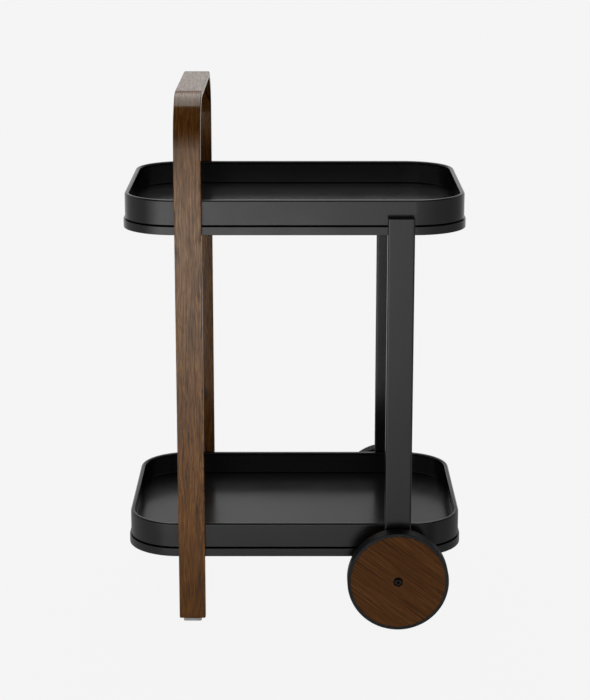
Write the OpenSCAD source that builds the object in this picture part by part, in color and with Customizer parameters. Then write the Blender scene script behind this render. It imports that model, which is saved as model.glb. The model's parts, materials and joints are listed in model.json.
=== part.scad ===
// Two-tier bar cart: a bent wooden strip makes the handle and two legs on one side,
// two steel posts with wheels stand on the other side, and two lift-off trays rest
// on flanged steel shelves. The cart is the same seen from the front (-Y) and the
// back (+Y). Origin: on the floor, below the middle of the shelves. Units: mm.

/* [Overall] */
// Height from the floor to the top of the handle
cart_h = 807.3; // [760:0.1:860]
// Distance along X from the middle of the cart to the legs and to the posts
upright_x = 156.8; // [140:0.2:158]
// Width of the wooden strip and of the posts
upright_w = 40; // [34:1:42]

/* [Trays] */
// Outside length of a tray, along X
tray_l = 511.4; // [500:0.2:560]
// Outside width of a tray, along Y
tray_w = 378.2; // [340:0.2:420]
// Height of a tray
tray_h = 37.5; // [25:0.5:60]
// Outside radius of a tray's corners
corner_r = 77.7; // [40:0.1:78]
// Thickness of the tray's sheet metal
tray_t = 1.2; // [0.8:0.1:2]
// How far the folded lip reaches inwards from the outside of the wall
lip_w = 6.8; // [4:0.1:10]
// Height of the folded lip
lip_h = 5; // [3:0.5:8]

/* [Shelves] */
// Height of the lower shelf's bottom edge above the floor
shelf_z = 101.8; // [92:0.1:120]
// Distance between the two shelves
shelf_pitch = 500; // [440:1:520]
// Height of a shelf's edge
shelf_h = 12.5; // [12:0.5:20]
// Thickness of the shelf's sheet metal
shelf_t = 1.5; // [1:0.1:2]
// How far a shelf's edge stands out from the tray's wall
shelf_proud = 2.3; // [1:0.1:4]
// Gap between a shelf and the tray on it
shadow_gap = 2; // [1.5:0.1:5]

/* [Wooden strip] */
// Thickness of the bent strip
strip_t = 10.2; // [10:0.1:14]
// Outside radius of the strip's two bends
bend_r = 77; // [40:1:90]
// Height of the glides that carry the strip's two ends
glide_t = 4.3; // [3:0.1:8]

/* [Posts] */
// Depth of a post's section, along Y
post_d = 16; // [14:0.5:24]
// Wall thickness of a post
post_wall = 1.5; // [1:0.1:2]
// How far a post rises above the upper shelf
post_rise = 14; // [5:0.5:25]
// How far a post reaches below the axle
post_drop = 22; // [20:0.5:32]

/* [Wheels] */
// Radius of a wheel over its tyre
wheel_r = 77; // [60:1:84]
// Thickness of a wheel
wheel_t = 25; // [20:0.5:32]
// Radial thickness of the tyre
tyre_t = 4.8; // [4:0.1:10]
// Free space between a post and its wheel
wheel_gap = 5; // [4:0.5:10]
// Radius of the recess around the axle bolt's head
recess_r = 7.3; // [7:0.1:10]
// Depth of the recess
recess_d = 5.3; // [3:0.1:10]

/* [Hidden] */
$fn = 96;

// Shelves and trays, from the floor up
upper_z = shelf_z + shelf_pitch;
shelf_l = tray_l + 2 * shelf_proud;
shelf_w = tray_w + 2 * shelf_proud;
shelf_corner_r = corner_r + shelf_proud;
tray_over_shelf = shelf_h + shadow_gap;
flange_y = shelf_w / 2;

// Posts and wheels, measured outwards from the shelf's edge along Y
post_face_y = flange_y + post_d;
wheel_in_y = post_face_y + wheel_gap;
wheel_out_y = wheel_in_y + wheel_t;
post_top_z = upper_z + shelf_h + post_rise;
post_low_z = wheel_r - post_drop;
disc_r = wheel_r - tyre_t;
end_depth = 8;
cap_recess = 1;
tray_pad_r = 8;

// Fasteners: M5 screws for the shelves, an 8 mm shoulder bolt for each wheel
fit_gap = 0.02;
screw_r = 2.5;
screw_clear_r = 2.7;
screw_head_r = 4.75;
screw_head_h = 2.8;
screw_key = 3;
screw_x = 11;
screw_z = (shelf_h - shelf_t) / 2;
insert_r = 4;
insert_len = 8;
nut_h = 4;
nut_across = 8;
shoulder_r = 4;
axle_thread_r = 3;
axle_head_r = 5;
axle_head_h = 7;
run_gap = 0.06;
side_gap = 0.3;
bush_r = 6;
thrust_r = 10;
bush_flange_t = 2.2;
spacer_t = wheel_gap - bush_flange_t - side_gap;
boss_r = 9;
tyre_chamfer = 1;
hex_key = 4;
hex_depth = 4;

// Glides: a pad with round ends, and a pin pressed into the strip's end
glide_l = 28;
glide_w = 8;
pin_r = 2;
pin_len = 12;

wood_colour = [0.30, 0.19, 0.11];
steel_black = [0.13, 0.13, 0.14];
rubber_black = [0.10, 0.10, 0.11];
zinc = [0.62, 0.63, 0.65];
nylon_white = [0.90, 0.90, 0.88];

// ---- Shapes used by several parts ----

// A rectangle with rounded corners, centred on the origin
module rounded_plan(l, w, r) {
    square([l - 2 * r, w], center = true);
    square([l, w - 2 * r], center = true);
    for (sx = [-1, 1], sy = [-1, 1]) {
        translate([sx * (l / 2 - r), sy * (w / 2 - r)]) circle(r = r);
    }
}

// A slab with the shelf's or the tray's outline, made smaller all round by inset
module slab(l, w, r, inset, z, h) {
    translate([0, 0, z])
        linear_extrude(height = h)
            rounded_plan(l - 2 * inset, w - 2 * inset, r - inset);
}

// Everything drawn on the front side (-Y); side = 1 keeps it there, -1 mirrors it to the back
module on_side(side) {
    if (side > 0) children();
    else mirror([0, 1, 0]) children();
}

// A round bar along -Y on the axis through x, z, from y0 outwards to y1
module bar_y(x, z, y0, y1, r) {
    translate([x, -y0, z]) rotate([90, 0, 0]) cylinder(r = r, h = y1 - y0);
}

// A hexagonal bar along -Y, across = distance between its flats
module hex_y(x, z, y0, y1, across) {
    translate([x, -y0, z])
        rotate([90, 0, 0])
            cylinder(r = across / 2 / cos(30), h = y1 - y0, $fn = 6);
}

// Puts children at the two screw places of one upright on both shelves
module at_screws(x) {
    for (z = [shelf_z, upper_z], dx = [-screw_x, screw_x]) {
        translate([x + dx, 0, z + screw_z]) children();
    }
}

// ---- Wooden strip ----

// Inside of the strip when cut = strip_t, outside when cut = 0
module strip_outline(cut) {
    half = flange_y + strip_t - cut;
    r = bend_r - cut;
    top = cart_h - cut;
    low = glide_t - cut;
    translate([-half, low]) square([2 * half, top - r - low]);
    translate([-(half - r), low]) square([2 * (half - r), top - low]);
    for (s = [-1, 1]) {
        translate([s * (half - r), top - r]) circle(r = r);
    }
}

module wood_frame() {
    color(wood_colour) difference() {
        translate([-upright_x - upright_w / 2, 0, 0])
            rotate([90, 0, 90])
                linear_extrude(height = upright_w)
                    difference() {
                        strip_outline(0);
                        strip_outline(strip_t);
                    }
        for (side = [-1, 1]) {
            on_side(side)
                at_screws(-upright_x)
                    bar_y(0, 0, flange_y - 1, flange_y + insert_len + fit_gap, insert_r + fit_gap);
            on_side(side)
                at_foot()
                    cylinder(r = pin_r + fit_gap, h = glide_t + pin_len + fit_gap);
        }
    }
}

// Puts children on the floor below the strip's front end
module at_foot() {
    translate([-upright_x, -flange_y - strip_t / 2, 0]) children();
}

// Nylon glides that carry the strip clear of the floor
module leg_glides() {
    reach = (glide_l - glide_w) / 2;
    color(nylon_white)
        for (side = [-1, 1]) {
            on_side(side) at_foot() {
                translate([-reach, -glide_w / 2, 0]) cube([2 * reach, glide_w, glide_t]);
                translate([-reach, 0, 0]) cylinder(r = glide_w / 2, h = glide_t);
                translate([reach, 0, 0]) cylinder(r = glide_w / 2, h = glide_t);
                cylinder(r = pin_r, h = glide_t + pin_len);
            }
        }
}

// ---- Shelves ----

// A flat panel with its edge folded down, and two screw holes at each upright
module shelf(z) {
    color(steel_black) difference() {
        slab(shelf_l, shelf_w, shelf_corner_r, 0, z, shelf_h);
        slab(shelf_l, shelf_w, shelf_corner_r, shelf_t, z - 1, shelf_h - shelf_t + 1);
        for (side = [-1, 1], x = [-upright_x, upright_x], dx = [-screw_x, screw_x]) {
            on_side(side)
                bar_y(x + dx, z + screw_z, flange_y - shelf_t - 1, flange_y + 1, screw_clear_r);
        }
    }
}

module upper_shelf() { shelf(upper_z); }

module lower_shelf() { shelf(shelf_z); }

// Rubber pads that keep the tray clear of the shelf and stop it sliding
module tray_pads(z) {
    color(rubber_black)
        for (x = [-tray_l * 0.38, 0, tray_l * 0.38], side = [-1, 1]) {
            translate([x, side * tray_w * 0.36, z + shelf_h])
                cylinder(r = tray_pad_r, h = shadow_gap);
        }
}

module upper_tray_pads() { tray_pads(upper_z); }

module lower_tray_pads() { tray_pads(shelf_z); }

// ---- Trays ----

// A pan whose top edge is folded inwards and down again
module tray(z) {
    base = z + tray_over_shelf;
    color(steel_black) union() {
        difference() {
            slab(tray_l, tray_w, corner_r, 0, base, tray_h);
            slab(tray_l, tray_w, corner_r, tray_t, base + tray_t, tray_h - 2 * tray_t);
            slab(tray_l, tray_w, corner_r, lip_w, base + tray_h / 2, tray_h);
        }
        difference() {
            slab(tray_l, tray_w, corner_r, lip_w - tray_t, base + tray_h - lip_h, lip_h);
            slab(tray_l, tray_w, corner_r, lip_w, base + tray_h / 2, tray_h);
        }
    }
}

module upper_tray() { tray(upper_z); }

module lower_tray() { tray(shelf_z); }

// ---- Posts ----

// A rectangular steel tube, with holes for the shelf screws and the axle bolt
module post(side) {
    in_w = upright_w - 2 * post_wall;
    in_d = post_d - 2 * post_wall;
    color(steel_black) on_side(side) difference() {
        translate([upright_x - upright_w / 2, -post_face_y, post_low_z])
            cube([upright_w, post_d, post_top_z - post_low_z]);
        translate([upright_x - in_w / 2, -post_face_y + post_wall, post_low_z - 1])
            cube([in_w, in_d, post_top_z - post_low_z + 2]);
        at_screws(upright_x)
            bar_y(0, 0, flange_y - 1, flange_y + post_wall + 1, screw_clear_r);
        bar_y(upright_x, wheel_r, post_face_y - post_wall - 1, post_face_y + 1, axle_thread_r + 0.2);
    }
}

module front_post() { post(1); }

module rear_post() { post(-1); }

// A plastic plug inside one end of a post, from z0 up to z1
module tube_plug(side, z0, z1) {
    plug_w = upright_w - 2 * post_wall - 2 * fit_gap;
    plug_d = post_d - 2 * post_wall - 2 * fit_gap;
    color(rubber_black) on_side(side)
        translate([upright_x - plug_w / 2, -post_face_y + post_wall + fit_gap, z0])
            cube([plug_w, plug_d, z1 - z0]);
}

module post_cap(side) {
    tube_plug(side, post_top_z - cap_recess - end_depth, post_top_z - cap_recess);
}

module post_plug(side) {
    tube_plug(side, post_low_z, post_low_z + end_depth);
}

module front_post_cap() { post_cap(1); }

module rear_post_cap() { post_cap(-1); }

module front_post_plug() { post_plug(1); }

module rear_post_plug() { post_plug(-1); }

// ---- Shelf fasteners ----

// Threaded metal inserts in the wooden legs
module leg_inserts() {
    color(zinc)
        for (side = [-1, 1]) {
            on_side(side)
                at_screws(-upright_x)
                    difference() {
                        bar_y(0, 0, flange_y, flange_y + insert_len, insert_r);
                        bar_y(0, 0, flange_y - 1, flange_y + insert_len + 1, screw_r + fit_gap);
                    }
        }
}

// Hexagonal nuts welded inside the posts
module post_nuts() {
    y0 = flange_y + post_wall;
    color(zinc)
        for (side = [-1, 1]) {
            on_side(side)
                at_screws(upright_x)
                    difference() {
                        hex_y(0, 0, y0, y0 + nut_h, nut_across);
                        bar_y(0, 0, y0 - 1, y0 + nut_h + 1, screw_r + fit_gap);
                    }
        }
}

// A button-head screw put in from inside the shelf's edge
module shelf_screw(reach) {
    inner_y = flange_y - shelf_t;
    difference() {
        union() {
            bar_y(0, 0, inner_y - screw_head_h, inner_y, screw_head_r);
            bar_y(0, 0, inner_y - 0.5, inner_y + reach, screw_r);
        }
        hex_y(0, 0, inner_y - screw_head_h - 1, inner_y - 1, screw_key);
    }
}

module leg_screws() {
    color(zinc)
        for (side = [-1, 1]) {
            on_side(side) at_screws(-upright_x) shelf_screw(shelf_t + insert_len - 0.5);
        }
}

module post_screws() {
    color(zinc)
        for (side = [-1, 1]) {
            on_side(side) at_screws(upright_x) shelf_screw(shelf_t + post_wall + nut_h + 0.5);
        }
}

// ---- Axles ----

// A threaded steel boss welded across the inside of the post
module axle_boss(side) {
    y0 = flange_y + post_wall;
    y1 = post_face_y - post_wall;
    color(zinc) on_side(side) difference() {
        bar_y(upright_x, wheel_r, y0, y1, boss_r);
        bar_y(upright_x, wheel_r, y0 - 1, y1 + 1, axle_thread_r + fit_gap);
    }
}

module front_axle_boss() { axle_boss(1); }

module rear_axle_boss() { axle_boss(-1); }

// A shoulder bolt: socket head in the wheel's recess, shoulder through the bush, thread in the boss
module axle_bolt(side) {
    head_y = wheel_out_y - recess_d + side_gap;
    color(steel_black) on_side(side) difference() {
        union() {
            bar_y(upright_x, wheel_r, head_y, head_y + axle_head_h, axle_head_r);
            bar_y(upright_x, wheel_r, post_face_y, head_y + 1, shoulder_r);
            bar_y(upright_x, wheel_r, flange_y + post_wall + 1, post_face_y + 1, axle_thread_r);
        }
        hex_y(upright_x, wheel_r, head_y + axle_head_h - hex_depth, head_y + axle_head_h + 1, hex_key);
    }
}

module front_axle_bolt() { axle_bolt(1); }

module rear_axle_bolt() { axle_bolt(-1); }

// A nylon washer between the post and the bush
module spacer(side) {
    color(rubber_black) on_side(side) difference() {
        bar_y(upright_x, wheel_r, post_face_y, post_face_y + spacer_t, thrust_r);
        bar_y(upright_x, wheel_r, post_face_y - 1, post_face_y + spacer_t + 1, shoulder_r + run_gap);
    }
}

module front_spacer() { spacer(1); }

module rear_spacer() { spacer(-1); }

// ---- Wheels ----

// A flanged sleeve that turns on the bolt's shoulder
module bush(side) {
    y0 = post_face_y + spacer_t + side_gap;
    y1 = wheel_out_y - recess_d;
    color(rubber_black) on_side(side) difference() {
        union() {
            bar_y(upright_x, wheel_r, y0, y1, bush_r);
            bar_y(upright_x, wheel_r, y0, wheel_in_y, thrust_r);
        }
        bar_y(upright_x, wheel_r, y0 - 1, y1 + 1, shoulder_r + run_gap);
    }
}

module front_bush() { bush(1); }

module rear_bush() { bush(-1); }

// A solid wooden disc with a recess for the bolt's head
module wheel_disc(side) {
    color(wood_colour) on_side(side) difference() {
        bar_y(upright_x, wheel_r, wheel_in_y, wheel_out_y, disc_r);
        bar_y(upright_x, wheel_r, wheel_in_y - 1, wheel_out_y + 1, bush_r + fit_gap);
        bar_y(upright_x, wheel_r, wheel_out_y - recess_d, wheel_out_y + 1, recess_r);
    }
}

module front_wheel_disc() { wheel_disc(1); }

module rear_wheel_disc() { wheel_disc(-1); }

// Section of the tyre: radius along X, wheel thickness along Y, edges chamfered
module tyre_section() {
    inner = disc_r + fit_gap;
    edge = tyre_chamfer;
    polygon([
        [inner, 0],
        [wheel_r - edge, 0],
        [wheel_r, edge],
        [wheel_r, wheel_t - edge],
        [wheel_r - edge, wheel_t],
        [inner, wheel_t]
    ]);
}

// A rubber band round the disc
module tyre(side) {
    color(rubber_black) on_side(side)
        translate([upright_x, -wheel_in_y, wheel_r])
            rotate([90, 0, 0])
                rotate_extrude() tyre_section();
}

module front_tyre() { tyre(1); }

module rear_tyre() { tyre(-1); }

// ---- Drawing ----

wood_frame();
leg_glides();
upper_shelf();
lower_shelf();
upper_tray();
lower_tray();
upper_tray_pads();
lower_tray_pads();
front_post();
rear_post();
front_post_cap();
rear_post_cap();
front_post_plug();
rear_post_plug();
leg_inserts();
leg_screws();
post_nuts();
post_screws();
front_axle_boss();
rear_axle_boss();
front_axle_bolt();
rear_axle_bolt();
front_spacer();
rear_spacer();
front_bush();
rear_bush();
front_wheel_disc();
rear_wheel_disc();
front_tyre();
rear_tyre();
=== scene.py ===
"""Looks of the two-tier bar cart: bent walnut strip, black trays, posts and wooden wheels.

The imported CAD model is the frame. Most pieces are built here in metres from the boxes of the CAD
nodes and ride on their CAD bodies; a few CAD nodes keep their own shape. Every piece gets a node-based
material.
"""

import json
import math

import bmesh
import bpy
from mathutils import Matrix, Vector


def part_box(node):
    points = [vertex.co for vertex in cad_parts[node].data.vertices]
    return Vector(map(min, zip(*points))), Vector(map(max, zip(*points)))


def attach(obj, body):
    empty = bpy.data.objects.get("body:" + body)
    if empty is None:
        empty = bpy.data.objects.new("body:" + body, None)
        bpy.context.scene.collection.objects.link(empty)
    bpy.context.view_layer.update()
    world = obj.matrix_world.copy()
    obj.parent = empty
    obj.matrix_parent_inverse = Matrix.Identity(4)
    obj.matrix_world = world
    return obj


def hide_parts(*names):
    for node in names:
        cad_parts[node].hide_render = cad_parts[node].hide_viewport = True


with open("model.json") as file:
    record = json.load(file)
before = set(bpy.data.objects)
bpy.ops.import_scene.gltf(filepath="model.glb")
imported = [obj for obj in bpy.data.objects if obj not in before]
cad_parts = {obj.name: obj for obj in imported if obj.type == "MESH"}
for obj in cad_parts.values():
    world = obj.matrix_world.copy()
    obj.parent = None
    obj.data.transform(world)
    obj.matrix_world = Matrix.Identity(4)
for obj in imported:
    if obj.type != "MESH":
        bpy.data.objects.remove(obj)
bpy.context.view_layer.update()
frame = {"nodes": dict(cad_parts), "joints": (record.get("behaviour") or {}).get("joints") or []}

MM = 0.001
SMOOTH_ANGLE = math.radians(32)
CORNER_STEPS = 24
ROD_SIDES = 32


# ---------------------------------------------------------------- mesh helpers


def rounded_rect(length, width, radius, steps):
    """Corner arcs of a rounded rectangle round the origin, anticlockwise, as 4 * (steps + 1) points."""
    radius = max(radius, 1e-5)
    points = []
    for k, (sx, sy) in enumerate(((1, 1), (-1, 1), (-1, -1), (1, -1))):
        cx = sx * (length / 2 - radius)
        cy = sy * (width / 2 - radius)
        for i in range(steps + 1):
            a = math.radians(90 * k + 90 * i / steps)
            points.append((cx + radius * math.cos(a), cy + radius * math.sin(a)))
    return points


def arc(cx, cy, radius, start, end, steps):
    """Points on an arc, angles in degrees."""
    result = []
    for i in range(steps + 1):
        a = math.radians(start + (end - start) * i / steps)
        result.append((cx + radius * math.cos(a), cy + radius * math.sin(a)))
    return result


def circle(radius, sides):
    """Points round the origin."""
    angles = [2 * math.pi * i / sides for i in range(sides)]
    return [(radius * math.cos(a), radius * math.sin(a)) for a in angles]


def along(points, closed):
    """Running length at each point of a polyline, with the closing length last if it is closed."""
    total = [0.0]
    chain = list(points) + ([points[0]] if closed else [])
    for p, q in zip(chain, chain[1:]):
        total.append(total[-1] + (Vector(q) - Vector(p)).length)
    return total


def skin(name, rings, closed):
    """A mesh over rings of equal length: closed joins the last ring to the first, else the ends are capped.

    The UV map runs with the rings' centres along U and round each ring along V, in metres.
    """
    count = len(rings[0])
    mesh = bpy.data.meshes.new(name)
    verts = [tuple(p) for ring in rings for p in ring]
    centres = [sum((Vector(p) for p in ring), Vector()) / count for ring in rings]
    u_at = along(centres, closed)
    v_at = along(rings[0], True)
    faces = []
    uvs = []
    for i in range(len(rings) if closed else len(rings) - 1):
        low = i * count
        high = ((i + 1) % len(rings)) * count
        for j in range(count):
            k = (j + 1) % count
            faces.append((low + j, low + k, high + k, high + j))
            uvs.extend([(u_at[i], v_at[j]), (u_at[i], v_at[j + 1])])
            uvs.extend([(u_at[i + 1], v_at[j + 1]), (u_at[i + 1], v_at[j])])
    if not closed:
        last = (len(rings) - 1) * count
        for ring, start in ((reversed(range(count)), 0), (range(count), last)):
            ids = [start + j for j in ring]
            faces.append(tuple(ids))
            uvs.extend([(verts[v][0], verts[v][1]) for v in ids])
    mesh.from_pydata(verts, [], faces)
    layer = mesh.uv_layers.new(name="UVMap")
    layer.data.foreach_set("uv", [c for uv in uvs for c in uv])
    piece = bpy.data.objects.new(name, mesh)
    bpy.context.scene.collection.objects.link(piece)
    tidy_shading(piece)
    return piece


def tidy_shading(piece):
    """Outward normals, smooth faces, and sharp edges where the surface turns by more than SMOOTH_ANGLE."""
    bm = bmesh.new()
    bm.from_mesh(piece.data)
    bmesh.ops.recalc_face_normals(bm, faces=bm.faces)
    for face in bm.faces:
        face.smooth = True
    for edge in bm.edges:
        edge.smooth = len(edge.link_faces) == 2 and edge.calc_face_angle(0.0) < SMOOTH_ANGLE
    bm.to_mesh(piece.data)
    bm.free()


def weighted(piece):
    """Flat faces stay flat up to their rounded edges."""
    modifier = piece.modifiers.new("weighted", "WEIGHTED_NORMAL")
    modifier.keep_sharp = True
    modifier.weight = 80
    return piece


def plan_skin(name, length, width, radius, section):
    """A pan: the section's (inset, height) points run round a rounded rectangle; both ends are capped."""
    rings = []
    for inset, z in section:
        plan = rounded_rect(length - 2 * inset, width - 2 * inset, radius - inset, CORNER_STEPS)
        rings.append([(x, y, z) for x, y in plan])
    return weighted(skin(name, rings, closed=False))


def lathe(name, section, centre, side, sides, closed=True):
    """Turns (radius, distance outwards) points about the axle; side -1 is the front, 1 the back."""
    rings = []
    for radius, out in section:
        rings.append([(centre.x + a, side * out, centre.z + b) for a, b in circle(radius, sides)])
    return weighted(skin(name, rings, closed))


def cut(piece, cutters):
    """Takes the cutters out of the piece, before its other modifiers, and removes them."""
    for cutter in cutters:
        modifier = piece.modifiers.new("cut", "BOOLEAN")
        modifier.operation = "DIFFERENCE"
        modifier.solver = "EXACT"
        modifier.object = cutter
        piece.modifiers.move(len(piece.modifiers) - 1, 0)
        bpy.context.view_layer.update()
        graph = bpy.context.evaluated_depsgraph_get()
        others = [m for m in piece.modifiers if m != modifier]
        for other in others:
            other.show_viewport = False
        graph.update()
        mesh = bpy.data.meshes.new_from_object(piece.evaluated_get(graph))
        piece.modifiers.remove(modifier)
        for other in others:
            other.show_viewport = True
        piece.data = mesh
        bpy.data.objects.remove(cutter)
    tidy_shading(piece)


def rod(x, z, y_from, y_to, radius):
    """A plain bar along Y, used only to cut holes."""
    rings = [[(x + a, y, z + b) for a, b in circle(radius, ROD_SIDES)] for y in (y_from, y_to)]
    return skin("cutter", rings, closed=False)


def span(node):
    """Distances from the middle plane at which a node of one side starts and ends."""
    return sorted(abs(Vector(corner).y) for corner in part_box(node))


def place(piece, body, node, material):
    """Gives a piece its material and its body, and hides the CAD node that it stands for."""
    piece.data.materials.clear()
    piece.data.materials.append(material)
    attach(piece, body)
    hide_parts(node)
    return piece


# ---------------------------------------------------------------- material helpers


class Nodes:
    """Short ways to add and join shader nodes."""

    def __init__(self, tree):
        self.tree = tree
        tree.nodes.clear()

    def add(self, kind, **values):
        node = self.tree.nodes.new(kind)
        for key, value in values.items():
            setattr(node, key, value)
        return node

    def set(self, socket, value):
        if isinstance(value, bpy.types.NodeSocket):
            self.tree.links.new(value, socket)
        else:
            socket.default_value = value

    def math(self, operation, a, b=0.0, c=0.0):
        node = self.add("ShaderNodeMath", operation=operation)
        for socket, value in zip(node.inputs, (a, b, c)):
            self.set(socket, value)
        return node.outputs[0]

    def vector(self, operation, a, b):
        node = self.add("ShaderNodeVectorMath", operation=operation)
        self.set(node.inputs[0], a)
        self.set(node.inputs[1], b)
        return node.outputs[0]

    def noise(self, vector, scale, detail, rough):
        """3-D noise; scale is one number, or three for a different scale along each axis."""
        if isinstance(scale, tuple):
            vector = self.vector("MULTIPLY", vector, scale)
            scale = 1.0
        node = self.add("ShaderNodeTexNoise", noise_dimensions="3D")
        self.set(node.inputs["Vector"], vector)
        self.set(node.inputs["Scale"], scale)
        self.set(node.inputs["Detail"], detail)
        self.set(node.inputs["Roughness"], rough)
        return node.outputs["Fac"]

    def remap(self, value, low, high, to_low=0.0, to_high=1.0, smooth=True):
        node = self.add("ShaderNodeMapRange", interpolation_type="SMOOTHSTEP" if smooth else "LINEAR")
        for socket, number in zip(node.inputs, (value, low, high, to_low, to_high)):
            self.set(socket, number)
        return node.outputs[0]

    def ramp(self, value, stops):
        node = self.add("ShaderNodeValToRGB")
        ramp = node.color_ramp
        while len(ramp.elements) < len(stops):
            ramp.elements.new(0.5)
        for element, (position, colour) in zip(ramp.elements, stops):
            element.position = position
            element.color = (*colour, 1.0)
        self.set(node.inputs[0], value)
        return node.outputs[0]

    def mix(self, factor, a, b, blend="MIX"):
        """Inputs 6 and 7 and output 2 of the node are its colour sockets."""
        node = self.add("ShaderNodeMix", data_type="RGBA", blend_type=blend)
        self.set(node.inputs[0], factor)
        self.set(node.inputs[6], a)
        self.set(node.inputs[7], b)
        return node.outputs[2]

    def grey(self, value):
        """The same number in all three channels."""
        node = self.add("ShaderNodeCombineXYZ")
        for socket in node.inputs:
            self.set(socket, value)
        return node.outputs[0]

    def bump(self, height, strength, distance):
        node = self.add("ShaderNodeBump")
        self.set(node.inputs["Height"], height)
        self.set(node.inputs["Strength"], strength)
        self.set(node.inputs["Distance"], distance)
        return node.outputs[0]


def new_material(name):
    """A material, its node helper and its shader."""
    material = bpy.data.materials.new(name)
    material.use_nodes = True
    n = Nodes(material.node_tree)
    shader = n.add("ShaderNodeBsdfPrincipled")
    output = n.add("ShaderNodeOutputMaterial")
    n.set(output.inputs["Surface"], shader.outputs[0])
    return material, n, shader


# ---------------------------------------------------------------- materials


def walnut_colour(n, grain, stops, contrast, rate):
    """Colour, height, streaks and pores of walnut; grain is in metres with the fibres along its X.

    The streaks get shorter with a larger rate.
    """
    wander = n.noise(grain, (6.0, 22.0, 22.0), 2.0, 0.5)
    shift = n.math("MULTIPLY", n.math("SUBTRACT", wander, 0.5), 0.014)
    offset = n.add("ShaderNodeCombineXYZ")
    n.set(offset.inputs[1], shift)
    bent = n.vector("ADD", grain, offset.outputs[0])
    broad = n.noise(bent, (4.0, 60.0, 60.0), 3.0, 0.55)
    bands = n.noise(bent, (24.0 * rate, 430.0, 430.0), 3.0, 0.6)
    fleck = n.noise(bent, (60.0 * rate, 700.0, 700.0), 2.0, 0.6)
    fibre = n.noise(bent, (24.0, 2200.0, 2200.0), 2.0, 0.6)
    streaks = n.math("MULTIPLY", broad, 0.12)
    streaks = n.math("MULTIPLY_ADD", bands, 0.37, streaks)
    streaks = n.math("MULTIPLY_ADD", fleck, 0.36, streaks)
    streaks = n.math("MULTIPLY_ADD", fibre, 0.15, streaks)
    tone = n.math("MULTIPLY_ADD", n.math("SUBTRACT", streaks, 0.5), contrast, 0.5)
    dots = n.noise(bent, (60.0, 900.0, 900.0), 1.0, 0.5)
    pores = n.remap(dots, 0.60, 0.70)
    relief = n.math("MULTIPLY", n.math("ADD", fibre, fleck), 0.4)
    height = n.math("MULTIPLY_ADD", pores, -0.8, relief)
    return n.ramp(tone, stops), height, streaks, pores


def growth_lines(n, grain):
    """Thin dark growth lines that wave slowly along the board, as a mask."""
    field = n.noise(grain, (5.0, 32.0, 32.0), 1.0, 0.4)
    step = n.math("FRACT", n.math("MULTIPLY", field, 4.0))
    return n.remap(n.math("ABSOLUTE", n.math("SUBTRACT", step, 0.5)), 0.09, 0.0)


FEET_Z = (0.03, 0.15)
BEND_Z = (0.700, 0.772)
HANDLE_Z = (0.796, 0.8065)
INNER_FACE = (5.6 * MM, 7.6 * MM)
STRIP_EDGE = (0.960, 0.985)
PLY_T = 0.85 * MM
GLUE_T = 0.16 * MM


def walnut_strip():
    """Lacquered walnut plies, grain along the bend, with thin glue lines on the strip's edges.

    The lacquer is duller over open grain and on the handle. Painted shade darkens the colour at the
    bend and on the inner face, painted light brightens it on the handle's top, and it is also darker
    towards the feet. The map named layers holds the distance through the strip, and how far from
    its middle line a point lies, as a share of half the width.
    """
    material, n, shader = new_material("walnut_strip")
    uv = n.add("ShaderNodeUVMap", uv_map="UVMap").outputs[0]
    layers = n.add("ShaderNodeSeparateXYZ")
    n.set(layers.inputs[0], n.add("ShaderNodeUVMap", uv_map="layers").outputs[0])
    colour, height, streaks, pores = walnut_colour(
        n,
        uv,
        [
            (0.18, (0.100, 0.0325, 0.0072)),
            (0.42, (0.260, 0.0970, 0.0210)),
            (0.56, (0.376, 0.1485, 0.0335)),
            (0.82, (0.600, 0.2720, 0.0700)),
        ],
        2.5,
        0.6,
    )
    dark = (0.030, 0.010, 0.003, 1.0)
    colour = n.mix(n.math("MULTIPLY", pores, 0.5), colour, dark)
    figured = n.remap(layers.outputs[0], *INNER_FACE, 0.85, 0.35)
    colour = n.mix(n.math("MULTIPLY", growth_lines(n, uv), figured), colour, dark)
    place_at = n.add("ShaderNodeSeparateXYZ")
    n.set(place_at.inputs[0], n.add("ShaderNodeTexCoord").outputs["Object"])
    # Painted shade and light by height and face: darker towards the feet, painted shade at the bend and on
    # the inner face, painted light on the handle's top.
    feet = n.remap(place_at.outputs[2], *FEET_Z, 0.68, 1.0)
    bend_painted_shade = n.remap(place_at.outputs[2], *BEND_Z, 1.0, 0.52)
    handle = n.remap(place_at.outputs[2], *HANDLE_Z, 0.0, 0.48)
    inner_face_painted_shade = n.remap(layers.outputs[0], *INNER_FACE, 0.55, 1.0)
    # The product below is painted shade and light multiplied into the wood's colour.
    shade = n.math("MULTIPLY", n.math("MULTIPLY", feet, inner_face_painted_shade), n.math("ADD", bend_painted_shade, handle))
    colour = n.mix(1.0, colour, n.grey(shade), "MULTIPLY")
    glue = n.remap(n.math("PINGPONG", layers.outputs[0], PLY_T), 0.0, GLUE_T, 1.0, 0.0)
    edge_dark = n.math("MULTIPLY", n.math("MULTIPLY", n.remap(layers.outputs[1], *STRIP_EDGE), glue), 0.5)
    colour = n.mix(edge_dark, colour, (0.02, 0.011, 0.007, 1.0))
    n.set(shader.inputs["Base Color"], colour)
    rough = n.math("ADD", n.remap(streaks, 0.34, 0.62, 0.20, 0.09), n.math("MULTIPLY", pores, 0.12))
    rough = n.math("MULTIPLY_ADD", handle, 0.14, rough)
    shader.inputs["IOR"].default_value = 1.48
    shader.inputs["Specular Tint"].default_value = (1.0, 0.97, 0.88, 1.0)
    n.set(shader.inputs["Roughness"], rough)
    n.set(shader.inputs["Normal"], n.bump(height, 0.40, 0.00014))
    return material


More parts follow.
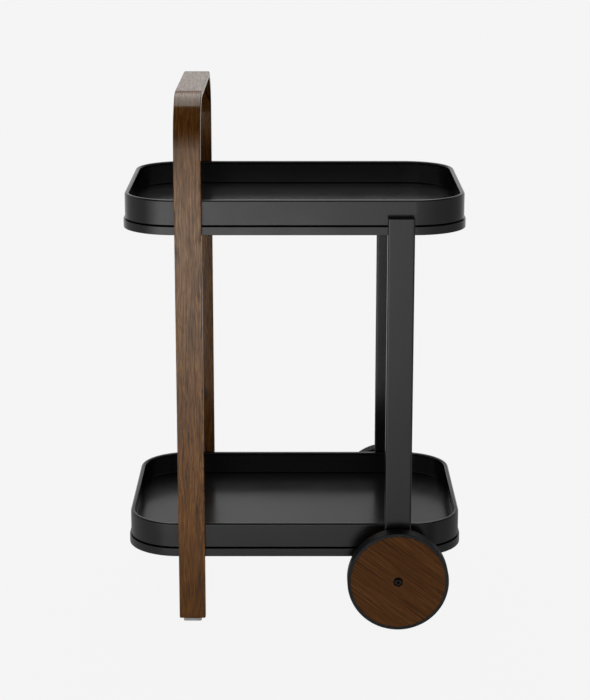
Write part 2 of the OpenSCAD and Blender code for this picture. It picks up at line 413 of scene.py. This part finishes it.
def walnut_disc(name, angle, centre):
    """Walnut on a wheel's face: straight grain turned by an angle, with fine dark lines."""
    material, n, shader = new_material(name)
    where = n.add("ShaderNodeTexCoord").outputs["Object"]
    turn = n.add("ShaderNodeMapping", vector_type="POINT")
    turn.inputs["Rotation"].default_value = (0.0, angle, 0.0)
    n.set(turn.inputs["Vector"], n.vector("SUBTRACT", where, centre))
    parts = n.add("ShaderNodeSeparateXYZ")
    n.set(parts.inputs[0], turn.outputs[0])
    grain = n.add("ShaderNodeCombineXYZ")
    n.set(grain.inputs[0], parts.outputs[0])
    n.set(grain.inputs[1], parts.outputs[2])
    n.set(grain.inputs[2], parts.outputs[1])
    colour, height, streaks, pores = walnut_colour(
        n,
        grain.outputs[0],
        [
            (0.24, (0.068, 0.0215, 0.0048)),
            (0.42, (0.143, 0.0515, 0.0128)),
            (0.56, (0.215, 0.0825, 0.0220)),
            (0.74, (0.325, 0.1390, 0.0410)),
        ],
        1.3,
        0.35,
    )
    lines = n.noise(grain.outputs[0], (6.0, 560.0, 1.0), 1.0, 0.5)
    line_mask = n.math("MAXIMUM", n.remap(lines, 0.60, 0.68), n.math("MULTIPLY", pores, 0.4))
    colour = n.mix(n.math("MULTIPLY", line_mask, 0.62), colour, (0.012, 0.0055, 0.0025, 1.0))
    n.set(shader.inputs["Base Color"], colour)
    n.set(shader.inputs["Roughness"], n.remap(streaks, 0.3, 0.7, 0.58, 0.50))
    n.set(shader.inputs["Normal"], n.bump(height, 0.3, 0.00012))
    shader.inputs["Specular IOR Level"].default_value = 0.12
    return material


def powder_coat():
    """Fine satin black powder coat with a slight orange peel."""
    material, n, shader = new_material("powder_coat")
    where = n.add("ShaderNodeTexCoord").outputs["Object"]
    peel = n.noise(where, 900.0, 3.0, 0.55)
    grit = n.noise(where, 3200.0, 1.0, 0.5)
    cloud = n.noise(where, 9.0, 3.0, 0.6)
    height = n.math("MULTIPLY_ADD", grit, 0.4, peel)
    colour = n.mix(cloud, (0.0062, 0.0062, 0.0066, 1), (0.0082, 0.0082, 0.0087, 1))
    n.set(shader.inputs["Base Color"], colour)
    rough = n.math("ADD", n.remap(cloud, 0.3, 0.7, 0.20, 0.24), n.remap(grit, 0.3, 0.7, -0.02, 0.02))
    n.set(shader.inputs["Roughness"], rough)
    n.set(shader.inputs["Normal"], n.bump(height, 0.25, 0.00004))
    shader.inputs["IOR"].default_value = 1.62
    return material


def moulded(name, colour, rough_low, rough_high, scale, depth):
    """Moulded rubber or plastic: fine texture, patchy roughness."""
    material, n, shader = new_material(name)
    where = n.add("ShaderNodeTexCoord").outputs["Object"]
    skin_noise = n.noise(where, scale, 3.0, 0.6)
    patches = n.noise(where, 28.0, 3.0, 0.6)
    dark = tuple(c * 0.8 for c in colour)
    light = tuple(c * 1.25 for c in colour)
    n.set(shader.inputs["Base Color"], n.mix(n.remap(patches, 0.35, 0.65), (*dark, 1), (*light, 1)))
    n.set(shader.inputs["Roughness"], n.remap(patches, 0.3, 0.7, rough_low, rough_high))
    n.set(shader.inputs["Normal"], n.bump(skin_noise, 0.4, depth))
    return material


def plated(name, colour, roughness, metallic):
    """Plated or blackened steel with fine turning marks."""
    material, n, shader = new_material(name)
    where = n.add("ShaderNodeTexCoord").outputs["Object"]
    marks = n.noise(where, (420.0, 3780.0, 420.0), 2.0, 0.5)
    stain = n.noise(where, 60.0, 3.0, 0.6)
    dull = tuple(c * 0.82 for c in colour)
    n.set(shader.inputs["Base Color"], n.mix(n.remap(stain, 0.4, 0.65), (*colour, 1), (*dull, 1)))
    n.set(shader.inputs["Roughness"], n.remap(stain, 0.3, 0.7, roughness - 0.05, roughness + 0.07))
    n.set(shader.inputs["Normal"], n.bump(marks, 0.2, 0.00003))
    shader.inputs["Metallic"].default_value = metallic
    return material


def tyre_rubber():
    """Dark grey moulded rubber, with painted shade making the tread blacker than its sides; both wheels
    share it.
    """
    material, n, shader = new_material("tyre_rubber")
    where = n.add("ShaderNodeTexCoord").outputs["Object"]
    parts = n.add("ShaderNodeSeparateXYZ")
    n.set(parts.inputs[0], where)
    low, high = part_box("front_tyre")
    tyre_r = (high[2] - low[2]) / 2
    x = n.math("SUBTRACT", parts.outputs[0], (low[0] + high[0]) / 2)
    z = n.math("SUBTRACT", parts.outputs[2], (low[2] + high[2]) / 2)
    radius = n.math("SQRT", n.math("ADD", n.math("MULTIPLY", x, x), n.math("MULTIPLY", z, z)))
    # Painted shade: the tread band is coloured near black.
    tread = n.remap(radius, tyre_r - 0.9 * MM, tyre_r - 0.2 * MM)
    patches = n.noise(where, 28.0, 3.0, 0.6)
    side = n.mix(n.remap(patches, 0.35, 0.65), (0.032, 0.036, 0.041, 1), (0.046, 0.051, 0.057, 1))
    n.set(shader.inputs["Base Color"], n.mix(tread, side, (0.009, 0.009, 0.010, 1)))
    n.set(shader.inputs["Roughness"], n.remap(patches, 0.3, 0.7, 0.52, 0.62))
    n.set(shader.inputs["Normal"], n.bump(n.noise(where, 1400.0, 3.0, 0.6), 0.4, 0.00005))
    shader.inputs["Specular IOR Level"].default_value = 0.20
    return material


WALNUT = walnut_strip()
BLACK = powder_coat()
TYRE = tyre_rubber()
SOFT_RUBBER = moulded("soft_rubber", (0.012, 0.012, 0.012), 0.6, 0.75, 1200.0, 0.00005)
PLASTIC = moulded("black_plastic", (0.006, 0.006, 0.0065), 0.55, 0.68, 1600.0, 0.00004)
NYLON = moulded("pale_nylon", (0.88, 0.88, 0.87), 0.38, 0.48, 1100.0, 0.00004)
ZINC = plated("zinc", (0.56, 0.57, 0.59), 0.34, 1.0)
BOLT = plated("black_oxide", (0.020, 0.021, 0.024), 0.42, 0.6)


# ---------------------------------------------------------------- bent strip

STRIP_EDGE_R = 1.4 * MM
FOOT_R = 3.0 * MM
BEND_OUTER_R = 77 * MM
FOOT_STEPS = 6
LEG_STEPS = 12
BEND_STEPS = 28
HANDLE_STEPS = 6


def strip_stations(low, high, thick):
    """Middle-line point, outward direction and shrink, from the front foot over to the rear foot."""
    half = high.y - thick / 2
    top = high.z - thick / 2
    radius = BEND_OUTER_R - thick / 2
    corner_y = high.y - BEND_OUTER_R
    corner_z = high.z - BEND_OUTER_R
    front = Vector((0, -1, 0))
    up = []
    for i in range(FOOT_STEPS + 1):
        a = math.radians(90 * i / FOOT_STEPS)
        z = low.z + FOOT_R * (1 - math.cos(a))
        up.append((Vector((0, -half, z)), front, FOOT_R * (1 - math.sin(a))))
    for i in range(1, LEG_STEPS):
        z = low.z + FOOT_R + (corner_z - low.z - FOOT_R) * i / LEG_STEPS
        up.append((Vector((0, -half, z)), front, 0.0))
    centre = Vector((0, -corner_y, corner_z))
    for i in range(BEND_STEPS + 1):
        a = math.radians(90 * i / BEND_STEPS)
        out = Vector((0, -math.cos(a), math.sin(a)))
        up.append((centre + radius * out, out, 0.0))
    middle = []
    for i in range(1, HANDLE_STEPS):
        y = -corner_y + 2 * corner_y * i / HANDLE_STEPS
        middle.append((Vector((0, y, top)), Vector((0, 0, 1)), 0.0))
    down = []
    for point, out, shrink in reversed(up):
        down.append((Vector((0, -point.y, point.z)), Vector((0, -out.y, out.z)), shrink))
    return up + middle + down


def bent_strip():
    """The strip that is handle and legs, with maps for the grain and for its plies."""
    low, high = (Vector(c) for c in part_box("wood_frame"))
    inner = Vector(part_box("upper_shelf")[1]).y
    thick = high.y - inner
    width = high.x - low.x
    mid_x = (low.x + high.x) / 2
    rings = []
    for point, out, shrink in strip_stations(low, high, thick):
        section = rounded_rect(width - 2 * shrink, thick - 2 * shrink, STRIP_EDGE_R - shrink, 5)
        rings.append([Vector((mid_x + a, point.y, point.z)) + out * b for a, b in section])
    piece = skin("bent_strip", rings, closed=False)
    layer = piece.data.uv_layers.new(name="layers")
    section = rounded_rect(width, thick, STRIP_EDGE_R, 5)
    count = len(section)
    for loop in piece.data.loops:
        a, b = section[loop.vertex_index % count]
        layer.data[loop.index].uv = (b + thick, abs(a) / (width / 2))
    weighted(piece)
    return place(piece, "cart", "wood_frame", WALNUT)


GLIDE_W = 8 * MM
GLIDE_EDGE_R = 0.7 * MM
GLIDE_PIN_R = 2 * MM


def leg_glides():
    """Two moulded pads with softened rims, each with a pin up into the strip."""
    low, high = (Vector(c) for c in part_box("leg_glides"))
    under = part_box("wood_frame")[0][2]
    length = high.x - low.x
    soft = GLIDE_EDGE_R
    profile = [(soft, low.z), (soft * 0.3, low.z + soft * 0.3), (0.0, low.z + soft), (0.0, under)]
    levels = []
    for inset, z in profile:
        plan = rounded_rect(length - 2 * inset, GLIDE_W - 2 * inset, GLIDE_W / 2 - inset, 10)
        levels.append((plan, z))
    pin = rounded_rect(2 * GLIDE_PIN_R, 2 * GLIDE_PIN_R, GLIDE_PIN_R, 10)
    levels += [(pin, under), (pin, high.z)]
    pieces = []
    for y in (low.y + GLIDE_W / 2, high.y - GLIDE_W / 2):
        rings = [[((low.x + high.x) / 2 + a, y + b, z) for a, b in plan] for plan, z in levels]
        pieces.append(skin("glide", rings, closed=False))
    return place(join(pieces, "leg_glide_pair"), "cart", "leg_glides", NYLON)


# ---------------------------------------------------------------- trays and shelves

TRAY_CORNER_R = 77.7 * MM
TRAY_T = 1.2 * MM
TRAY_BOTTOM_R = 0.35 * MM
TRAY_COVE_R = 1.6 * MM
LIP_W = 6.8 * MM
LIP_ROLL_R = 2.5 * MM
LIP_OUTER_R = 2.8 * MM
SHELF_T = 1.5 * MM
SHELF_TOP_R = 0.7 * MM
SHELF_CUT_R = 0.4 * MM
FLOOR_INSET = 58 * MM
SCREW_HALF_PITCH = 11 * MM
SCREW_HOLE_R = 2.7 * MM
HOLE_SPARE = 2 * MM
PAD_R = 8 * MM
PAD_EDGE_R = 0.6 * MM
PAD_SIDES = 40


def tray_pan(name, node, body):
    """A pressed pan: tight bottom edge, plain wall, lip turned inwards and rolled under."""
    low, high = (Vector(c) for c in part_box(node))
    base = low.z
    top = high.z
    t = TRAY_T
    roll = LIP_ROLL_R
    cove = t + TRAY_COVE_R
    section = [(FLOOR_INSET, base)]
    section += arc(TRAY_BOTTOM_R, base + TRAY_BOTTOM_R, TRAY_BOTTOM_R, 270, 180, 6)
    section += arc(LIP_OUTER_R, top - LIP_OUTER_R, LIP_OUTER_R, 180, 90, 7)
    section += arc(LIP_W - roll, top - roll, roll, 90, -90, 14)
    section += arc(LIP_W - roll, top - roll, roll - t, -90, 90, 10)
    section += arc(LIP_OUTER_R, top - LIP_OUTER_R, LIP_OUTER_R - t, 90, 180, 6)
    section += arc(cove, base + cove, TRAY_COVE_R, 180, 270, 5)
    section += [(FLOOR_INSET, base + t)]
    piece = plan_skin(name, high.x - low.x, high.y - low.y, TRAY_CORNER_R, section)
    return place(piece, body, node, BLACK)


def screw_places(node):
    """X and Z of the screws of one shelf, two per upright, and the shelf's Y edge."""
    low, high = (Vector(c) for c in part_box(node))
    height = low.z + (high.z - low.z - SHELF_T) / 2
    leg = sum(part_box("wood_frame")[i][0] for i in (0, 1)) / 2
    places = []
    for x in (leg, -leg):
        places += [(x - SCREW_HALF_PITCH, height), (x + SCREW_HALF_PITCH, height)]
    return places, high.y


def shelf_panel(name, node):
    """A panel with its edge folded down, drilled for the screws."""
    low, high = (Vector(c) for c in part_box(node))
    t = SHELF_T
    top_r = SHELF_TOP_R
    cut_r = SHELF_CUT_R
    section = [(FLOOR_INSET, high.z)]
    section += arc(top_r, high.z - top_r, top_r, 90, 180, 6)
    section += arc(cut_r, low.z + cut_r, cut_r, 180, 270, 3)
    section += arc(t - cut_r, low.z + cut_r, cut_r, 270, 360, 3)
    section += arc(t + cut_r, high.z - t - cut_r, cut_r, 180, 90, 3)
    section += [(FLOOR_INSET, high.z - t)]
    radius = TRAY_CORNER_R + (high.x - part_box("upper_tray")[1][0])
    piece = plan_skin(name, high.x - low.x, high.y - low.y, radius, section)
    places, edge = screw_places(node)
    end = edge + HOLE_SPARE
    cut(piece, [rod(x, z, -end, end, SCREW_HOLE_R) for x, z in places])
    return place(piece, "cart", node, BLACK)


def pads(name, node):
    """Six round rubber pads with softened rims."""
    low, high = (Vector(c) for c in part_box(node))
    soft = PAD_EDGE_R
    profile = [(PAD_R - soft, low.z), (PAD_R, low.z + soft)]
    profile += arc(PAD_R - soft, high.z - soft, soft, 0, 90, 4)
    pieces = []
    for x in (low.x + PAD_R, 0.0, high.x - PAD_R):
        for y in (low.y + PAD_R, high.y - PAD_R):
            rings = [[(x + a, y + b, z) for a, b in circle(r, PAD_SIDES)] for r, z in profile]
            pieces.append(skin(name, rings, closed=False))
    return place(join(pieces, name), "cart", node, SOFT_RUBBER)


def join(pieces, name):
    """One object from several."""
    bm = bmesh.new()
    for piece in pieces:
        bm.from_mesh(piece.data)
    mesh = bpy.data.meshes.new(name)
    bm.to_mesh(mesh)
    bm.free()
    for piece in pieces:
        bpy.data.objects.remove(piece)
    joined = bpy.data.objects.new(name, mesh)
    bpy.context.scene.collection.objects.link(joined)
    tidy_shading(joined)
    return joined


# ---------------------------------------------------------------- posts

POST_WALL = 1.5 * MM
POST_EDGE_R = 2.9 * MM
POST_INNER_R = 0.4 * MM
POST_BURR = 0.3 * MM
AXLE_HOLE_R = 3.2 * MM
PLUG_CORNER_R = 0.9 * MM
PLUG_EDGE = 0.5 * MM
PLUG_RIM = 1.2 * MM


def post_tube(name, node):
    """A rectangular tube with rounded edges, its ends cut square and lightly broken, drilled."""
    low, high = (Vector(c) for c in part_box(node))
    mid = (low + high) / 2
    size = high - low
    burr = POST_BURR
    wall = POST_WALL
    profile = [(0.0, low.z + burr), (0.0, high.z - burr), (burr, high.z), (wall - burr, high.z)]
    profile += [(wall, high.z - burr), (wall, low.z + burr), (wall - burr, low.z), (burr, low.z)]
    rings = []
    for inset, z in profile:
        radius = max(POST_EDGE_R - inset, POST_INNER_R)
        plan = rounded_rect(size.x - 2 * inset, size.y - 2 * inset, radius, 6)
        rings.append([(mid.x + x, mid.y + y, z) for x, y in plan])
    piece = weighted(skin(name, rings, closed=True))
    side = 1 if mid.y > 0 else -1
    inner, outer = span(node)
    inner_wall = (side * (inner - MM), side * (inner + wall + MM))
    outer_wall = (side * (outer - wall - MM), side * (outer + MM))
    places = [xz for shelf in ("upper_shelf", "lower_shelf") for xz in screw_places(shelf)[0]]
    cutters = [rod(x, z, *inner_wall, SCREW_HOLE_R) for x, z in places if x > 0]
    axle = axle_of(node)
    cutters.append(rod(axle.x, axle.z, *outer_wall, AXLE_HOLE_R))
    cut(piece, cutters)
    return place(piece, "cart", node, BLACK)


def axle_of(node):
    """The place of the wheel joint on the same side of the cart as a node."""
    name = "front_wheel_spin" if node.startswith("front") else "rear_wheel_spin"
    return Vector(next(j for j in frame["joints"] if j["name"] == name)["pos_m"])


def tube_end(name, node, dish):
    """A plastic plug with rounded edges; its upper face is slightly dished where asked."""
    low, high = (Vector(c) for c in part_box(node))
    mid = (low + high) / 2
    size = high - low
    soft = PLUG_EDGE
    profile = [(soft, low.z), (0.0, low.z + soft), (0.0, high.z - soft), (soft, high.z)]
    if dish:
        profile += [(PLUG_RIM, high.z), (PLUG_RIM + soft, high.z - soft)]
    rings = []
    for inset, z in profile:
        plan = rounded_rect(size.x - 2 * inset, size.y - 2 * inset, PLUG_CORNER_R, 4)
        rings.append([(mid.x + x, mid.y + y, z) for x, y in plan])
    piece = weighted(skin(name, rings, closed=False))
    return place(piece, "cart", node, PLASTIC)


# ---------------------------------------------------------------- wheels and axles

WHEEL_SIDES = 160
RECESS_R = 7.3 * MM
RECESS_D = 5.3 * MM
BUSH_R = 6.02 * MM
DISC_EDGE_R = 0.7 * MM
DISC_HOLE_EDGE = 0.5 * MM
TYRE_GAP = 0.02 * MM
TYRE_EDGE_R = 1.1 * MM
TYRE_LIP_R = 0.4 * MM
MOULD_LINE = 0.12 * MM


def wheel_disc(side_name, side, grain_angle):
    """A wooden disc: softened rims, recess for the bolt's head, bore for the bush."""
    node = side_name + "_wheel_disc"
    low, high = (Vector(c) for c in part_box(node))
    axle = axle_of(node)
    inner, outer = span(node)
    radius = (high.z - low.z) / 2
    soft = DISC_EDGE_R
    brk = DISC_HOLE_EDGE
    section = [(BUSH_R, inner + brk), (BUSH_R + brk, inner)]
    section += arc(radius - soft, inner + soft, soft, 270, 360, 4)
    section += arc(radius - soft, outer - soft, soft, 0, 90, 4)
    section += arc(RECESS_R + brk, outer - brk, brk, 90, 180, 4)
    section += [(RECESS_R, outer - RECESS_D), (BUSH_R, outer - RECESS_D)]
    piece = lathe(side_name + "_disc", section, axle, side, WHEEL_SIDES)
    centre = (axle.x, 0.0, axle.z)
    material = walnut_disc("walnut_" + side_name + "_disc", grain_angle, centre)
    return place(piece, side_name + "_wheel", node, material)


def tyre_band(side_name, side):
    """A rubber band: flat sides, edges rounded into the tread, a faint mould line."""
    node = side_name + "_tyre"
    low, high = (Vector(c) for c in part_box(node))
    inner, outer = span(node)
    radius = (high.z - low.z) / 2
    disc_low, disc_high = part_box(side_name + "_wheel_disc")
    seat = (disc_high[2] - disc_low[2]) / 2 + TYRE_GAP
    soft = TYRE_EDGE_R
    lip = TYRE_LIP_R
    middle = (inner + outer) / 2
    mould = MOULD_LINE
    tread = radius - mould / 2
    section = arc(seat + lip, inner + lip, lip, 180, 270, 3)
    section += arc(tread - soft, inner + soft, soft, 270, 360, 8)
    section += [(tread, middle - 3 * mould), (radius, middle), (tread, middle + 3 * mould)]
    section += arc(tread - soft, outer - soft, soft, 0, 90, 8)
    section += arc(seat + lip, outer - lip, lip, 90, 180, 3)
    piece = lathe(side_name + "_band", section, axle_of(node), side, WHEEL_SIDES)
    return place(piece, side_name + "_wheel", node, TYRE)


BOLT_SIDES = 72
THREAD_R = 3 * MM
THREAD_EDGE = 0.4 * MM
SHOULDER_R = 4 * MM
HEAD_H = 7 * MM
HEAD_EDGE_R = 0.9 * MM
SOCKET_W = 4.2 * MM
SOCKET_D = 4.5 * MM
DRILL_D = 6.4 * MM


def hex_socket(axle, side, end):
    """Cutter for a hexagonal socket that ends in a drill point."""
    corner = SOCKET_W / 2 / math.cos(math.pi / 6)
    profile = [(-MM, corner), (SOCKET_D, corner)]
    profile += [(SOCKET_D + 0.05 * MM, 0.97 * SOCKET_W / 2), (DRILL_D, 0.05 * SOCKET_W)]
    angles = [math.pi * (i + 0.5) / 3 for i in range(6)]
    rings = []
    for depth, radius in profile:
        y = side * (end - depth)
        rings.append([(axle.x + radius * math.cos(a), y, axle.z + radius * math.sin(a)) for a in angles])
    return skin("cutter", rings, closed=False)


def axle_bolt(side_name, side):
    """Shoulder bolt with a rounded socket head."""
    node = side_name + "_axle_bolt"
    low, high = (Vector(c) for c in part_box(node))
    axle = axle_of(node)
    start, end = span(node)
    post_face = span(side_name + "_post")[1]
    head_r = (high.x - low.x) / 2
    under_head = end - HEAD_H
    brk = THREAD_EDGE
    soft = HEAD_EDGE_R
    section = [(THREAD_R - brk, start), (THREAD_R, start + brk), (THREAD_R, post_face)]
    section += [(SHOULDER_R, post_face + 0.01 * MM), (SHOULDER_R, under_head)]
    section += [(head_r - brk, under_head), (head_r, under_head + brk)]
    section += arc(head_r - soft, end - soft, soft, 0, 90, 5)
    piece = lathe(side_name + "_bolt", section, axle, side, BOLT_SIDES, closed=False)
    cut(piece, [hex_socket(axle, side, end)])
    return place(piece, "cart", node, BOLT)


# ---------------------------------------------------------------- the cart


def paint(node, material):
    """A CAD node that keeps its own shape."""
    mesh = frame["nodes"][node].data
    mesh.materials.clear()
    mesh.materials.append(material)


bent_strip()
leg_glides()
tray_pan("upper_pan", "upper_tray", "upper_tray_body")
tray_pan("lower_pan", "lower_tray", "lower_tray_body")
shelf_panel("upper_panel", "upper_shelf")
shelf_panel("lower_panel", "lower_shelf")
pads("upper_pads", "upper_tray_pads")
pads("lower_pads", "lower_tray_pads")
for side_name, side, grain_angle in (("front", -1, math.radians(-37)), ("rear", 1, math.radians(24))):
    post_tube(side_name + "_tube", side_name + "_post")
    tube_end(side_name + "_cap", side_name + "_post_cap", True)
    tube_end(side_name + "_plug", side_name + "_post_plug", False)
    wheel_disc(side_name, side, grain_angle)
    tyre_band(side_name, side)
    axle_bolt(side_name, side)
    paint(side_name + "_axle_boss", ZINC)
    paint(side_name + "_spacer", PLASTIC)
    paint(side_name + "_bush", PLASTIC)
for fastener in ("leg_inserts", "leg_screws", "post_nuts", "post_screws"):
    paint(fastener, ZINC)


# ---------------------------------------------------------------- camera

CAMERA_X = 0.0006
CAMERA_DISTANCE = 2.9555
CAMERA_HEIGHT = 1.1692
CAMERA_TILT = 0.246
SENSOR_HEIGHT_MM = 36.0
LENS_MM = 104.87

front_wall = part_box("upper_tray")[0][1]
camera_data = bpy.data.cameras.new("camera")
camera_data.sensor_fit = "VERTICAL"
camera_data.sensor_height = SENSOR_HEIGHT_MM
camera_data.lens = LENS_MM
camera_data.clip_end = 60.0
camera = bpy.data.objects.new("camera", camera_data)
camera.location = (CAMERA_X, front_wall - CAMERA_DISTANCE, CAMERA_HEIGHT)
camera.rotation_euler = (math.pi / 2 - CAMERA_TILT, 0.0, 0.0)
bpy.context.scene.collection.objects.link(camera)
bpy.context.scene.camera = camera


# ---------------------------------------------------------------- stage and light

FLOOR_HALF = 30.0
FLOOR_GLOW = 0.90
FLOOR_GREY = 0.03
BACKDROP = 0.905
FRONT_LIGHT = 3.4
CEILING_LIGHT = 2.35
WALL_LIGHT = 0.40
FILL_LIGHT = 0.28
AMBIENT = 0.32
AMBIENT_HIGH = 0.06


def floor():
    """A pale floor that glows, so that shadows stay faint; the cart doesn't reflect it."""
    mesh = bpy.data.meshes.new("floor")
    half = FLOOR_HALF
    corners = [(-half, -half, 0), (half, -half, 0), (half, half, 0), (-half, half, 0)]
    mesh.from_pydata(corners, [], [(0, 1, 2, 3)])
    plane = bpy.data.objects.new("floor", mesh)
    bpy.context.scene.collection.objects.link(plane)
    material = bpy.data.materials.new("floor")
    material.use_nodes = True
    n = Nodes(material.node_tree)
    glow = n.add("ShaderNodeEmission")
    glow.inputs[0].default_value = (1, 1, 1, 1)
    glow.inputs[1].default_value = FLOOR_GLOW
    matt = n.add("ShaderNodeBsdfDiffuse")
    matt.inputs[0].default_value = (FLOOR_GREY, FLOOR_GREY, FLOOR_GREY, 1)
    both = n.add("ShaderNodeAddShader")
    n.set(both.inputs[0], glow.outputs[0])
    n.set(both.inputs[1], matt.outputs[0])
    output = n.add("ShaderNodeOutputMaterial")
    n.set(output.inputs[0], both.outputs[0])
    mesh.materials.append(material)
    plane.visible_glossy = False
    plane.visible_diffuse = False
    plane.visible_shadow = False


def front_sweep(n, rise, turn):
    """A bright low sweep of paper at the front left, brightest where it meets its own floor."""
    left_edge = n.math("POWER", n.remap(turn, -74, -34, smooth=False), 1.4)
    across = n.math("MINIMUM", left_edge, n.remap(turn, 2.5, -1.5))
    above = n.math("MULTIPLY", n.math("POWER", n.remap(rise, 34, -9, smooth=False), 2.6), 0.30)
    above = n.math("MAXIMUM", above, n.remap(rise, -8.8, -10.2))
    below = n.math("POWER", n.remap(rise, -21.8, -10.5, smooth=False), 2.6)
    foot = n.math("MINIMUM", n.remap(rise, -21.5, -18), n.remap(rise, -9, -14))
    below = n.math("MULTIPLY_ADD", foot, 0.10, below)
    level = n.math("MULTIPLY", across, n.math("MINIMUM", above, below))
    return n.math("MULTIPLY", level, FRONT_LIGHT)


def ceiling_panel(n, x, y, z):
    """A long panel overhead that fades towards the back wall."""
    height = n.math("MAXIMUM", z, 0.01)
    aside = n.math("ABSOLUTE", n.math("DIVIDE", x, height))
    back = n.math("DIVIDE", y, height)
    near_and_far = n.math("MINIMUM", n.remap(back, 0.05, 0.10), n.remap(back, 2.0, 0.85))
    level = n.math("MULTIPLY", n.remap(aside, 0.42, 0.18), near_and_far)
    return n.math("MULTIPLY", n.math("MULTIPLY", level, CEILING_LIGHT), n.remap(z, 0.02, 0.05))


def back_wall(n, rise, away):
    """A lit band of wall behind the cart."""
    band = n.math("MINIMUM", n.remap(rise, -18.5, -12.5), n.remap(rise, 22, 12.5))
    return n.math("MULTIPLY", n.math("MULTIPLY", n.remap(away, 120, 165), band), WALL_LIGHT)


def right_fill(n, rise, turn):
    """A weak light from the front right."""
    right = n.math("MULTIPLY", n.remap(turn, 60, 2), n.remap(turn, -4, 2))
    return n.math("MULTIPLY", n.math("MULTIPLY", right, n.remap(rise, 20, 0)), FILL_LIGHT)


def ambient(n, rise, turn, away):
    """The dim room, darker overhead, on the right, above the front and on the floor before the cart."""
    dim = n.math("MULTIPLY", n.remap(rise, 25, 50, AMBIENT, AMBIENT_HIGH), n.remap(turn, 50, 95, 1.0, 0.7))
    above_front = n.math("MULTIPLY", n.remap(away, 110, 70), n.remap(rise, 5, 30))
    near_floor = n.math("MULTIPLY", n.remap(away, 75, 45), n.remap(rise, -13, -20))
    hidden = n.math("MAXIMUM", n.math("MULTIPLY", above_front, 0.9), n.math("MULTIPLY", near_floor, 0.95))
    return n.math("MULTIPLY", dim, n.math("SUBTRACT", 1.0, hidden))


def studio_world():
    """The studio as light by direction; the camera itself sees an even pale grey.

    In degrees, rise is the angle above the horizon, turn the angle to the right of the front, and
    away the same angle without its sign.
    """
    world = bpy.data.worlds.new("studio")
    bpy.context.scene.world = world
    world.use_nodes = True
    n = Nodes(world.node_tree)
    parts = n.add("ShaderNodeSeparateXYZ")
    n.set(parts.inputs[0], n.add("ShaderNodeTexCoord").outputs["Generated"])
    x, y, z = parts.outputs
    rise = n.math("DEGREES", n.math("ARCSINE", z))
    turn = n.math("DEGREES", n.math("ARCTAN2", x, n.math("MULTIPLY", y, -1.0)))
    away = n.math("ABSOLUTE", turn)
    level = n.math("ADD", front_sweep(n, rise, turn), ceiling_panel(n, x, y, z))
    for light in (back_wall(n, rise, away), right_fill(n, rise, turn), ambient(n, rise, turn, away)):
        level = n.math("ADD", level, light)

    seen = n.add("ShaderNodeLightPath").outputs["Is Camera Ray"]
    pale = n.math("MULTIPLY", seen, BACKDROP)
    other = n.math("MULTIPLY", n.math("SUBTRACT", 1.0, seen), level)
    background = n.add("ShaderNodeBackground")
    background.inputs[0].default_value = (1, 1, 1, 1)
    n.set(background.inputs[1], n.math("ADD", pale, other))
    output = n.add("ShaderNodeOutputWorld")
    n.set(output.inputs[0], background.outputs[0])


floor()
studio_world()

scene = bpy.context.scene
scene.view_settings.view_transform = "Standard"
scene.view_settings.look = "None"
scene.view_settings.exposure = 0.0
scene.view_settings.gamma = 1.0
